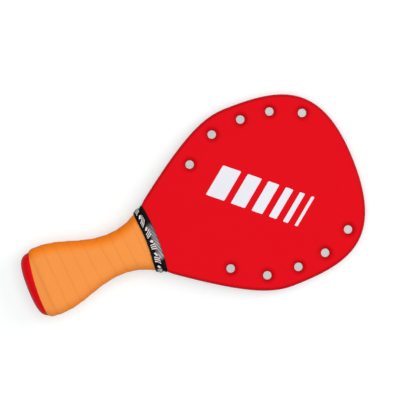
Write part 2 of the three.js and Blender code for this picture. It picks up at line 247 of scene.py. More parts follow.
def lengths_along(points):
    """The length of a run of points, up to each of them."""
    lengths = [0.0]
    for before, after in zip(points, points[1:]):
        lengths.append(lengths[-1] + (after - before).length)
    return lengths


def length_shares(corners):
    """The share of a curve's length that lies before each of its evenly spaced parameters."""
    steps = range(table_steps + 1)
    lengths = lengths_along([on_curve(corners, step / table_steps)[0] for step in steps])
    return [length / lengths[-1] for length in lengths]


def look_up(table, wanted):
    """The step of a rising table that ends at or past a value, and the value's share of the step."""
    step = min(max(1, bisect_left(table, wanted)), len(table) - 1)
    return step, (wanted - table[step - 1]) / (table[step] - table[step - 1])


edge_tables = [length_shares(corners) for corners in edge_stretches]


def edge_point(stretch, share):
    """The outline's point and normal at a share of the length of one of its stretches."""
    step, rest = look_up(edge_tables[stretch], share)
    return on_curve(edge_stretches[stretch], (step - 1 + rest) / table_steps)


def mirrored(place):
    """A place or a direction on the other side of the racket's middle line."""
    return Vector((place.x, -place.y))


upper_edge = [
    edge_point(stretch, step / count)
    for stretch, count in enumerate(edge_counts)
    for step in range(count)
]
upper_edge.append(edge_point(len(edge_counts) - 1, 1.0))
lower_edge = [(mirrored(place), mirrored(normal)) for place, normal in upper_edge]
outline = lower_edge + upper_edge[-2:0:-1]
edge_places = [place.x for place, _ in upper_edge]


def half_width_at(x):
    """Half the width of the bare racket at x."""
    step, rest = look_up(edge_places, x)
    (before, _), (after, _) = upper_edge[step - 1], upper_edge[step]
    return before.y + (after.y - before.y) * min(max(rest, 0), 1)


def outline_loop(z, inset_at):
    """The outline at a height, drawn in by an inset that may change along the racket."""
    return [Vector((*(place - normal * inset_at(place.x)), z)) for place, normal in outline]


hole_inset = 18.2 * mm
hole_shares = [
    (3, 0.453, 1.156),
    (3, 0.78, 0.962),
    (4, 0.066, 0.982),
    (4, 0.269, 1.005),
    (4, 0.531, 0.889),
]
bore_radius = 4.8 * mm
bore_facets = 64
weld = 0.002 * mm


def hole_centres():
    """Five holes down each side, each a share along a stretch and a share of the inset."""
    centres = []
    for stretch, along_share, inset_share in hole_shares:
        place, normal = edge_point(stretch, along_share)
        centre = place - normal * hole_inset * inset_share
        centres += [centre, mirrored(centre)]
    return centres


holes = hole_centres()


def geometry_tree(name, kinds):
    """An empty Geometry Nodes tree with its named inputs, and those of its input node."""
    tree = bpy.data.node_groups.new(name, "GeometryNodeTree")
    add_sockets(tree, "INPUT", {"Geometry": "Geometry", **kinds})
    add_sockets(tree, "OUTPUT", {"Geometry": "Geometry"})
    return tree, tree.nodes.new("NodeGroupInput").outputs


def close_tree(tree, geometry, finish):
    """Ends a tree with plain geometry that carries its material."""
    plain = put(tree, "GeometryNodeRealizeInstances", {"Geometry": geometry})
    painted = put(tree, "GeometryNodeSetMaterial", {"Geometry": plain, "Material": finish})
    new_node(tree, "NodeGroupOutput", {"Geometry": painted})


def new_object(name, data):
    """An object in the scene."""
    made = bpy.data.objects.new(name, data)
    bpy.context.scene.collection.objects.link(made)
    return made


def mesh_object(name, points, faces=()):
    """An object in the scene with a plain mesh."""
    mesh = bpy.data.meshes.new(name)
    mesh.from_pydata(points, [], faces)
    return new_object(name, mesh)


def mesh_from_tree(tree, points, values):
    """The plain mesh that a tree makes from loose points."""
    carrier = mesh_object("carrier", points)
    modifier = carrier.modifiers.new(tree.name, "NODES")
    modifier.node_group = tree
    for socket, value in values.items():
        modifier[tree.interface.items_tree[socket].identifier] = value
    shown = carrier.evaluated_get(bpy.context.evaluated_depsgraph_get())
    made = bpy.data.meshes.new_from_object(shown)
    carrier.modifiers.remove(modifier)
    bpy.data.objects.remove(carrier)
    return made


def split(tree, vector):
    """The X, Y and Z of a vector."""
    return new_node(tree, "ShaderNodeSeparateXYZ", {0: vector}).outputs


def grid_mesh(tree, rows, columns):
    """A grid, with the row and the column of each of its points."""
    grid = put(tree, "GeometryNodeMeshGrid", {"Vertices X": rows, "Vertices Y": columns})
    index = put(tree, "GeometryNodeInputIndex")
    row = maths(tree, "FLOOR", maths(tree, "DIVIDE", maths(tree, "ADD", index, 0.5), columns))
    column = maths(tree, "SUBTRACT", index, maths(tree, "MULTIPLY", row, columns))
    return grid, row, column


def turned_wall_tree():
    """A wall turned from a profile, whose X is its radius, and set at every point."""
    kinds = {"Profile": "Object", "Facets": "Int", "Weld": "Float", "Finish": "Material"}
    tree, given = geometry_tree("turned wall", kinds)
    calc = partial(maths, tree)
    profile = new_node(tree, "GeometryNodeObjectInfo", {"Object": given["Profile"]}).outputs["Geometry"]
    rows = put(tree, "GeometryNodeAttributeDomainSize", {"Geometry": profile}, component="MESH")
    columns = calc("ADD", given["Facets"], 1)
    grid, row, column = grid_mesh(tree, rows, columns)
    turn = calc("MULTIPLY", column, calc("DIVIDE", math.tau, given["Facets"]))
    spot = put(tree, "GeometryNodeInputPosition")
    wanted = {"Geometry": profile, "Value": spot, "Index": row}
    at = split(tree, put(tree, "GeometryNodeSampleIndex", wanted, data_type="FLOAT_VECTOR"))
    across = calc("MULTIPLY", at["X"], calc("COSINE", turn))
    along = calc("MULTIPLY", at["X"], calc("SINE", turn))
    turned = put(tree, "ShaderNodeCombineXYZ", {"X": across, "Y": along, "Z": at["Z"]})
    wall = put(tree, "GeometryNodeSetPosition", {"Geometry": grid, "Position": turned})
    welded = {"Geometry": wall, "Distance": given["Weld"]}
    closed = put(tree, "GeometryNodeMergeByDistance", welded)
    spots = {"Points": given["Geometry"], "Instance": closed}
    copies = put(tree, "GeometryNodeInstanceOnPoints", spots)
    close_tree(tree, copies, given["Finish"])
    return tree


turned_wall = turned_wall_tree()


def add_hole_walls(shape, profile, finish):
    """Adds the wall of every hole, turned from a profile of (radius, height) pairs."""
    guide = mesh_object("profile", [(radius, 0, height) for radius, height in profile])
    values = {"Profile": guide, "Facets": bore_facets, "Weld": weld, "Finish": finish}
    shape.from_mesh(mesh_from_tree(turned_wall, [(*centre, 0) for centre in holes], values))
    bpy.data.objects.remove(guide)


def loop_pairs(loop):
    """The place of each point of a closed loop with the place of the next one."""
    return [(i, (i + 1) % len(loop)) for i in range(len(loop))]


def add_ring_walls(shape, rings):
    """Adds the walls between closed rings of points that lie one beyond the other."""
    corners = [[shape.verts.new(point) for point in ring] for ring in rings]
    for low, high in zip(corners, corners[1:]):
        for i, j in loop_pairs(low):
            shape.faces.new((low[i], low[j], high[j], high[i]))


def cut_loop(loop, left_end):
    """The part of a loop that lies right of its left end, closed straight across there."""
    right = [i for i, point in enumerate(loop) if point.x > left_end]
    if len(right) == len(loop):
        return loop

    def crossing(inside, beyond):
        return inside.lerp(beyond, (inside.x - left_end) / (inside.x - beyond.x))

    first, last = right[0], right[-1]
    start = crossing(loop[first], loop[first - 1])
    end = crossing(loop[last], loop[last + 1])
    return [start, *loop[first:last + 1], end]


fill_tolerance = weld / 100


def fill_face(shape, points, edges, z, inside=lambda middle: True):
    """Adds a flat face of triangles at a height, as far as their middles lie inside."""
    places, _, triangles, *_ = delaunay_2d_cdt(points, edges, [], 1, fill_tolerance)
    corners = [shape.verts.new((*place, z)) for place in places]
    for triangle in triangles:
        if inside(sum((places[i] for i in triangle), Vector((0, 0))) / len(triangle)):
            shape.faces.new([corners[i] for i in triangle])


support_width = 0.6 * mm
support_count = 4
face_grid = 7 * mm


def add_flat_face(shape, z, inset_at, hole_radius=0, left_end=-math.inf):
    """Adds a flat face inside the inset outline, round the holes and right of its left end."""
    points, edges = [], []

    def add_loop(loop):
        edges.extend((len(points) + i, len(points) + j) for i, j in loop_pairs(loop))
        points.extend(loop)

    for margin in (0, support_width):
        loop = outline_loop(z, lambda x: inset_at(x) + margin)
        add_loop([point.xy for point in cut_loop(loop, left_end + margin)])
        for centre in holes if hole_radius else ():
            add_loop([
                centre + Vector((math.cos(turn), math.sin(turn))) * (hole_radius + margin)
                for turn in (math.tau * i / bore_facets for i in range(bore_facets))
            ])

    def outside_holes(point, margin):
        return not hole_radius or all(
            (point - centre).length > hole_radius + margin for centre in holes
        )

    margin = inset_at(tip) + support_count * support_width
    for column in range(math.ceil((tip - butt) / face_grid)):
        x = butt + column * face_grid
        reach = min(half_width_at(x - margin), half_width_at(x + margin)) - margin
        if x > max(left_end, butt) + margin and reach > 0:
            rows = math.floor(reach / face_grid)
            places = [Vector((x, row * face_grid)) for row in range(-rows, rows + 1)]
            points.extend(place for place in places if outside_holes(place, margin))
    fill_face(shape, points, edges, z, lambda middle: outside_holes(middle, -weld))


sharp_angle = math.radians(38)


def add_piece(name, shape, finish):
    """A closed, smooth-shaded object from a bmesh, with its sharp edges kept sharp."""
    bmesh.ops.remove_doubles(shape, verts=shape.verts, dist=weld)
    bmesh.ops.recalc_face_normals(shape, faces=shape.faces)
    for face in shape.faces:
        face.smooth = True
        face.material_index = 0
    for edge in shape.edges:
        edge.smooth = edge.calc_face_angle(0) < sharp_angle
    mesh = bpy.data.meshes.new(name)
    shape.to_mesh(mesh)
    shape.free()
    mesh.materials.append(finish)
    return new_object(name, mesh)


def cell_texture(tree, place, scale):
    """How far a point lies from the middle of its cell."""
    return put(tree, "ShaderNodeTexVoronoi", {"Vector": place, "Scale": scale})


def foam_material(name, plain, colour, cell_scale, cell_share, depth, **nap_sizes):
    """Foam of one colour, with a nap, and with its cut or open cells as fine pits."""
    made, tree, shader, place = new_material(name, plain)
    nap, tone = grained(tree, place, **nap_sizes)
    cells = cell_texture(tree, place, cell_scale)
    height = maths(tree, "MULTIPLY_ADD", cells, cell_share, nap)
    dress(tree, shader, toned(tree, colour, tone), height, depth)
    return made


foam_colour = linear(236, 231, 222)
foam_cell_depth = 0.3 * mm
rim_width = 6 * mm
bond_gap = 0.3 * mm
core_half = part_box("foam_core")[1].z
skin_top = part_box("front_skin")[1].z
collar_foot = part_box("front_skin")[0].z
collar_radius = bore_radius + 1.4 * mm
collar_flare = 2.4 * mm
foam_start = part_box("foam_core")[0].x
foam_inset = rim_width + bond_gap


def foam_panel():
    shape = bmesh.new()
    loops = [outline_loop(z, lambda x: foam_inset) for z in (-core_half, 0, core_half)]
    add_ring_walls(shape, [cut_loop(loop, foam_start) for loop in loops])
    recess = [
        (collar_radius + collar_flare + bond_gap, core_half),
        (collar_radius + bond_gap, collar_foot - bond_gap),
        (bore_radius, collar_foot - bond_gap),
    ]
    far_recess = [(radius, -height) for radius, height in reversed(recess)]
    finish = foam_material(
        "cut_foam",
        {"Roughness": 0.9, "Specular IOR Level": 0.3},
        foam_colour,
        cell_scale=1600,
        cell_share=0.6,
        depth=foam_cell_depth,
        grain_scale=900,
        cloud_scale=40,
        tone_change=0.08,
    )
    add_hole_walls(shape, recess + far_recess, finish)
    for side in (1, -1):
        add_flat_face(shape, side * core_half, lambda x: foam_inset, recess[0][0], foam_start)
    return add_piece("foam_panel", shape, finish)


foam = foam_panel()
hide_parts("foam_core")
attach(foam, "root")


# Edge frame
# A moulded rim of hard plastic runs all round the racket, flush with the skins. Its outer wall is
# rounded like a bullnose, tightly round the head and fully round the handle, and lacquered red.

red_edge = linear(222, 8, 22)
lacquer_sheen = (1.0, 0.12, 0.15, 1.0)
blade_half = skin_top
handle_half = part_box("front_cheek")[1].z
head_edge_radius = 4 * mm
handle_edge_radius = 10.5 * mm
edge_blend_start = butt + 118 * mm
edge_blend_end = butt + 172 * mm
frame_levels = 20
cloud_change = 0.07
cloud_dulling = 0.1
# Painted shade: the lacquer's colour darkens with the slope, round the edges and in the dishes of the
# holes.
painted_slope_shade = 0.38
slope_dulling = 0.08
hairline_from = 0.66
hairline_full = 0.74
hairline_dulling = 0.1
hairline_turn = 0.6
hairline_stretch = (30, 1500, 1500)
nib_reach = 0.05
nib_rise = 1.2
joint_darkening = 0.3
joint_sinking = 4
joint_hole_reach = 13.65 * mm
lacquer_roughness = 0.34
lacquer_relief = 0.012 * mm


def round_inset(height, half, radius):
    """How far a rounded edge has drawn in at a height above the middle plane."""
    rise = max(0, height - (half - radius))
    return radius - math.sqrt(max(0, radius * radius - rise * rise))


def eased(share):
    """A share that starts and stops gently, held between 0 and 1."""
    share = min(max(share, 0), 1)
    return share * share * (3 - 2 * share)


def edge_inset(x, height):
    """The inset of the outer wall, which changes from the handle's rounding to the head's."""
    share = eased((x - edge_blend_start) / (edge_blend_end - edge_blend_start))
    handle_inset = round_inset(height, handle_half, handle_edge_radius)
    head_inset = round_inset(height, blade_half, head_edge_radius)
    return handle_inset + (head_inset - handle_inset) * share


def ramp(tree, value, start, end, low=0.0, high=1.0, kind="SMOOTHSTEP"):
    """A value that goes from low to high between a start and an end, gently or as kind says."""
    given = {"Value": value, "From Min": start, "From Max": end, "To Min": low, "To Max": high}
    return put(tree, "ShaderNodeMapRange", given, interpolation_type=kind)


def lacquer_group():
    """Sprayed lacquer: orange peel, dust nibs and hairlines, duller where it slopes and darkened there
    by painted shade.
    """
    tree, given, result = shader_group(
        "satin lacquer",
        {"Vector": "Vector", "Colour": "Color", "Slope": "Float", "Joint": "Float"},
        {"Colour": "Color", "Roughness": "Float", "Height": "Float"},
    )
    calc = partial(maths, tree)
    slow = noise_texture(tree, given["Vector"], scale=16, detail=3)
    peel = noise_texture(tree, given["Vector"], scale=520, detail=1.5)
    nib = cell_texture(tree, given["Vector"], scale=75)
    nib_height = ramp(tree, nib, 0.0, nib_reach, low=nib_rise, high=0.0)
    brushing = {"Rotation": (0, 0, hairline_turn), "Scale": hairline_stretch}
    brushed = put(tree, "ShaderNodeMapping", {"Vector": given["Vector"], **brushing})
    hairline = noise_texture(tree, brushed, scale=1, detail=2)
    scratch = ramp(tree, hairline, hairline_from, hairline_full, high=hairline_dulling, kind="LINEAR")
    tone = calc("MULTIPLY_ADD", slow, cloud_change, 1 - cloud_change / 2)
    # Painted shade: the colour darkens where the surface slopes.
    tone = calc("MULTIPLY_ADD", given["Slope"], -painted_slope_shade, tone)
    tone = calc("MULTIPLY_ADD", given["Joint"], -joint_darkening, tone)
    roughness = calc("MULTIPLY_ADD", given["Slope"], slope_dulling, scratch)
    roughness = calc("MULTIPLY_ADD", slow, cloud_dulling, roughness)
    height = calc("MULTIPLY_ADD", given["Joint"], -joint_sinking, calc("ADD", peel, nib_height))
    tree.links.new(toned(tree, given["Colour"], tone), result["Colour"])
    tree.links.new(calc("ADD", roughness, lacquer_roughness), result["Roughness"])
    tree.links.new(height, result["Height"])
    return tree


satin_lacquer = lacquer_group()


def kept(tree, name):
    """A value that the mesh keeps at each point."""
    return new_node(tree, "ShaderNodeAttribute", attribute_name=name).outputs["Fac"]


def lacquer_material(name, colour_of):
    """Red lacquer; colour_of gives the colour under it from the tree and the coordinates."""
    plain = {"Specular IOR Level": 0.25, "Specular Tint": lacquer_sheen}
    made, tree, shader, place = new_material(name, plain)
    under = {"Vector": place, "Colour": colour_of(tree, place)}
    slope_and_joint = {"Slope": kept(tree, "slope"), "Joint": kept(tree, "joint")}
    coat = new_node(tree, "ShaderNodeGroup", {**under, **slope_and_joint}, node_tree=satin_lacquer).outputs
    dress(tree, shader, coat["Colour"], coat["Height"], lacquer_relief, coat["Roughness"])
    return made


def store_slope_shade_and_joint(piece, joint_height, slope_shade_share=1.0):
    """Keeps each point's slope, scaled by a share, for the lacquer's painted shade and dulling, and
    where a joint runs.
    """
    points = piece.data.vertices
    slopes = [point.normal.xy.length * slope_shade_share for point in points]
    joints = [
        abs(abs(point.co.z) - joint_height) < weld
        and all((point.co.xy - centre).length > joint_hole_reach for centre in holes)
        for point in points
    ]
    for name, values in (("slope", slopes), ("joint", joints)):
        piece.data.attributes.new(name, "FLOAT", "POINT").data.foreach_set("value", values)


def edge_frame_moulding():
    shape = bmesh.new()
    heights = [
        core_half * math.sin(math.pi / 2 * (2 * level / frame_levels - 1))
        for level in range(frame_levels + 1)
    ]
    rings = [outline_loop(z, lambda x: edge_inset(x, abs(z))) for z in heights]
    rings += [outline_loop(z, lambda x: rim_width) for z in (core_half, -core_half)]
    add_ring_walls(shape, [*rings, rings[0]])
    finish = lacquer_material("edge_lacquer", lambda tree, place: red_edge)
    return add_piece("edge_frame_moulding", shape, finish)


moulding = edge_frame_moulding()
store_slope_shade_and_joint(moulding, core_half)
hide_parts("edge_frame")
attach(moulding, "root")


# Front and back skins
# Each face is a stiff laminate 1.5 mm thick, glued over the core and the edge frame and sprayed
# red. Round each hole it is drawn down into a shallow dish, which ends in a collar inside the foam.
# The front carries a white print: a row of slanted bars that get narrower.

red_face = linear(225, 6, 21)
print_white = linear(234, 239, 246)
dish_radius = 11.4 * mm
dish_depth = 3.8 * mm
dish_steps = 14
skin_levels = 14
bar_middle = Vector((butt + 286 * mm, 1 * mm))
bar_heading = math.radians(-40.75)
bar_height = 38 * mm
bar_lean = 0.2
bar_widths = [22 * mm, 17 * mm, 13 * mm, 9 * mm, 6 * mm, 3.5 * mm]
bar_gap = 8 * mm
bar_corner = 1.2 * mm


def printed_red(tree, place):
    """The red of the face, with white where a point lies inside one of the slanted bars."""
    calc = partial(maths, tree)
    row = {"Vector": place, "Location": (*bar_middle, 0), "Rotation": (0, 0, bar_heading)}
    turned = put(tree, "ShaderNodeMapping", row, vector_type="TEXTURE")
    at = split(tree, turned)
    along = calc("MULTIPLY_ADD", at["Y"], -bar_lean, at["X"])
    rise = calc("ABSOLUTE", at["Y"])
    over = calc("MAXIMUM", calc("SUBTRACT", rise, bar_height / 2 - bar_corner), 0)
    start = -(sum(bar_widths) + bar_gap * (len(bar_widths) - 1)) / 2
    cover = 0.0
    for width in bar_widths:
        off = calc("ABSOLUTE", calc("SUBTRACT", along, start + width / 2))
        past = calc("MAXIMUM", calc("SUBTRACT", off, width / 2 - bar_corner), 0)
        squares = calc("ADD", calc("MULTIPLY", past, past), calc("MULTIPLY", over, over))
        cover = calc("ADD", cover, calc("LESS_THAN", calc("SQRT", squares), bar_corner))
        start += width + bar_gap
    return mixed(tree, cover, red_face, print_white)


def rounding_angles(foot, half, radius, levels):
    """Angles up a rounded edge, from the height of its foot to its top."""
    start = math.asin((foot - (half - radius)) / radius)
    return [start + (math.pi / 2 - start) * level / levels for level in range(levels + 1)]


def skin_shape(finish):
    shape = bmesh.new()
    straight = blade_half - head_edge_radius
    angles = rounding_angles(core_half, blade_half, head_edge_radius, skin_levels)
    heights = [straight + head_edge_radius * math.sin(angle) for angle in angles]
    add_ring_walls(shape, [outline_loop(z, lambda x: edge_inset(x, z)) for z in heights])
    dish_reach = dish_radius - bore_radius
    turns = [math.pi / 2 * step / dish_steps for step in range(dish_steps + 1)]
    dish = [
        (dish_radius - dish_reach * math.sin(turn), blade_half - dish_depth * (1 - math.cos(turn)))
        for turn in turns
    ]
    collar = [
        (bore_radius, collar_foot),
        (collar_radius, collar_foot),
        (collar_radius + collar_flare, core_half),
    ]
    add_hole_walls(shape, dish + collar, finish)
    add_flat_face(shape, blade_half, lambda x: edge_inset(x, blade_half), dish_radius)
    add_flat_face(shape, core_half, lambda x: edge_inset(x, core_half), collar[-1][0])
    return shape


def add_side(side, shape, name, finish):
    """A piece of the front, or the same piece turned over to the back."""
    if side == "back":
        half_turn = Matrix.Rotation(math.pi, 4, "X")
        bmesh.ops.transform(shape, matrix=half_turn, verts=shape.verts)
    return add_piece(f"{side}_{name}", shape, finish)


face_lacquers = {
    "front": lacquer_material("printed_face_lacquer", printed_red),
    "back": lacquer_material("face_lacquer", lambda tree, place: red_face),
}
for side, finish in face_lacquers.items():
    skin = add_side(side, skin_shape(finish), "face_laminate", finish)
    store_slope_shade_and_joint(skin, core_half)
    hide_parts(f"{side}_skin")
    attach(skin, "root")


# Handle cheeks
# A shaped wooden cheek is glued on each skin to make the handle deep enough to hold. It is rounded
# over to the butt and the sides, runs out down a ramp at the throat, and is lacquered with the rest.

red_butt = linear(226, 9, 21)
# The cheeks take only a tenth of the lacquer's painted slope shade.
butt_slope_shade_share = 0.1
cheek_levels = 16
cheek_points = 90
cheek_top = butt + 148 * mm
cheek_foot = butt + 156 * mm


def place_in(points, table, wanted):
    """The place between the points of a run where their table comes to a value."""
    step, rest = look_up(table, wanted)
    return points[step - 1] + (points[step] - points[step - 1]) * rest


def cheek_ring(z, inset):
    """A loop at one height: from the butt along one side to the ramp, and back along the other."""
    share = (z - blade_half) / (handle_half - blade_half)
    end = cheek_foot + (cheek_top - cheek_foot) * share
    side = [place - normal * inset for place, normal in upper_edge]
    places = [place.x for place in side]
    side = [*side[:bisect_left(places, end)], place_in(side, places, end)]
    lengths = lengths_along(side)
    wanted = [lengths[-1] * count / cheek_points for count in range(cheek_points + 1)]
    even = [place_in(side, lengths, length) for length in wanted]
    ring = [mirrored(place) for place in even] + even[:0:-1]
    return [Vector((*place, z)) for place in ring]


def cheek_shape():
    straight = handle_half - handle_edge_radius
    rings = [
        cheek_ring(
            straight + handle_edge_radius * math.sin(angle),
            handle_edge_radius * (1 - math.cos(angle)),
        )
        for angle in rounding_angles(blade_half, handle_half, handle_edge_radius, cheek_levels)
    ]
    shape = bmesh.new()
    add_ring_walls(shape, rings)
    for ring in (rings[0], rings[-1]):
        fill_face(shape, [point.xy for point in ring], loop_pairs(ring), ring[0].z)
    return shape


cheek_lacquer = lacquer_material("butt_lacquer", lambda tree, place: red_butt)
for side in ("front", "back"):
    cheek = add_side(side, cheek_shape(), "handle_cheek", cheek_lacquer)
    store_slope_shade_and_joint(cheek, blade_half, butt_slope_shade_share)
    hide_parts(f"{side}_cheek")
    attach(cheek, "root")


# Cushion sleeve
# A thin sleeve of soft foam rubber is stretched over the handle under the grip, to give it some
# spring. It stops short of the butt, where the grip goes down onto the wood.

cushion_colour = linear(58, 58, 60)
cushion_pore_depth = 0.2 * mm
cushion_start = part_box("cushion_sleeve")[0].x
cushion_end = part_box("cushion_sleeve")[1].x
wrap_clearance = 0.3 * mm
cushion_thickness = 0.7 * mm
cushion_rows = 60
corner_steps = 20
side_steps = 4
handle_flat_steps = 6


def section_stations(flat_steps):
    """Stations round the rounded section, from the +Y side over the front to the back."""
    stations = []
    quarter = math.pi / 2
    corners = [(1, 1), (-1, 1), (-1, -1), (1, -1)]
    for corner, (side_y, side_z) in enumerate(corners):
        for step in range(corner_steps + 1):
            angle = quarter * (corner + step / corner_steps)
            stations.append((side_y, side_z, math.cos(angle), math.sin(angle)))
        next_y, next_z = corners[(corner + 1) % len(corners)]
        steps = flat_steps if corner % 2 == 0 else side_steps
        angle = quarter * (corner + 1)
        for step in range(1, steps):
            share = step / steps
            stations.append((
                side_y + (next_y - side_y) * share,
                side_z + (next_z - side_z) * share,
                math.cos(angle),
                math.sin(angle),
            ))
    return stations


handle_stations = section_stations(handle_flat_steps)


def handle_point(x, station, half_width, half, radius):
    """A point at x of a section with this half width, half thickness and corner radius."""
    side_y, side_z, dy, dz = station
    return Vector((
        x,
        side_y * (half_width - radius) + dy * radius,
        side_z * (half - radius) + dz * radius,
    ))


def handle_ring(x, offset):
    """The handle's section at x, grown outwards by an offset."""
    size = (half_width_at(x) + offset, handle_half + offset, handle_edge_radius + offset)
    return [handle_point(x, station, *size) for station in handle_stations]


def cushion_wrap():
    length = cushion_end - cushion_start
    places = [cushion_start + length * row / cushion_rows for row in range(cushion_rows + 1)]
    outer = [handle_ring(x, wrap_clearance + cushion_thickness) for x in places]
    inner = [handle_ring(x, wrap_clearance) for x in reversed(places)]
    shape = bmesh.new()
    add_ring_walls(shape, [*outer, *inner, outer[0]])
    finish = foam_material(
        "cushion_foam_rubber",
        {"Roughness": 0.95},
        cushion_colour,
        cell_scale=700,
        cell_share=0.8,
        depth=cushion_pore_depth,
        grain_scale=1300,
        cloud_scale=70,
        tone_change=0.25,
    )
    return add_piece("cushion_wrap", shape, finish)


cushion = cushion_wrap()
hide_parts("cushion_sleeve")
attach(cushion, "root")


# Grip ribbon
# A tacky orange ribbon 22 mm wide is wound round the handle by hand, from the butt to the throat.
# It goes on under tension in slanting turns about 15 mm apart, and each turn laps the one before.

# The ribbon's colours: a paler orange with a painted sheen on the flats, a deeper orange of painted
# shade towards the sides, and a darker orange of painted shade in the laps.
grip_flat_painted_sheen = linear(249, 151, 68)
grip_side_painted_shade = linear(255, 130, 5)
grip_lap_shade_colour = linear(206, 108, 44)
grip_pore_depth = 0.05 * mm
middle_blend = 5 * mm
side_shade_full = 1.5 * mm
side_shade_reach = 13 * mm
lap_shade_reach = 1.2 * mm
# Shares of painted shade in the laps, along each turn's edge and where the next turn lies over it, in
# patches.
rolled_lap_shade = 0.05
tucked_lap_shade = 0.11
lap_shade_from = 0.42
lap_shade_full = 0.62
least_lap_shade = 0.05
grip_roughness = 0.56
grip_patch_dulling = 0.14
ribbon_ease = 0.4 * mm
ripple_stretch = (160, 60, 60)
rings_a_turn = 112
guide_rows = 150
winding = {
    "Guide Start": butt + 6 * mm,
    "Guide End": butt + 152 * mm,
    "Start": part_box("overgrip")[0].x,
    "End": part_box("overgrip")[1].x,
    "Start Share": 0.596,
    "Side Share": 0.001,
    "Bow": 2.4,
    "Bow Middle": -16 * mm,
    "Width": 22 * mm,
    "Pitch": 15 * mm,
    "Tail": 6.9 * mm,
    "Thickness": 0.45 * mm,
    "Taper": 3 * mm,
    "Lay Gap": 0.08 * mm,
    "Over Cushion": wrap_clearance + cushion_thickness + wrap_clearance + ribbon_ease,
    "Face Climb": 14 * mm,
    "Side Climb": 5 * mm,
    "Side From": 24 * mm,
    "Side Full": 36 * mm,
    "Flat Turn": 0.85,
    "Slack At": butt + 99 * mm,
    "Slack Reach": 4 * mm,
    "Slack Spread": 12 * mm,
    "Ripple": 0.14 * mm,
    "Seed": 3.0,
}
winding_run = winding["End"] - winding["Start"] + winding["Width"] - 2 * winding["Tail"]
winding_counts = {
    "Rings": math.floor(winding_run / winding["Pitch"] * rings_a_turn),
    "Rings A Turn": rings_a_turn,
    "Columns": 18,
}


def handle_guide():
    """A sheet on the bare handle, with a map of its share round and along, and its way out."""
    ring = handle_ring(waist.x, 0)
    lengths = lengths_along([*ring, ring[0]])
    columns = len(lengths)
    points, outs, faces, maps = [], [], [], []
    for row in range(guide_rows + 1):
        along = row / guide_rows
        x = winding["Guide Start"] + (winding["Guide End"] - winding["Guide Start"]) * along
        ring = handle_ring(x, 0)
        points += [*ring, ring[0]]
        outs += [(0.0, dy, dz) for _, _, dy, dz in [*handle_stations, handle_stations[0]]]
        maps += [(length / lengths[-1], along) for length in lengths]
    for row in range(guide_rows):
        for near in range(row * columns, (row + 1) * columns - 1):
            far = near + columns
            faces.append((near, near + 1, far + 1, far))
    guide = mesh_object("handle_guide", points, faces)
    out = guide.data.attributes.new("out", "FLOAT_VECTOR", "POINT")
    out.data.foreach_set("vector", [value for vector in outs for value in vector])
    uv = guide.data.uv_layers.new(name="UVMap")
    for loop in guide.data.loops:
        uv.data[loop.index].uv = maps[loop.vertex_index]
    return guide


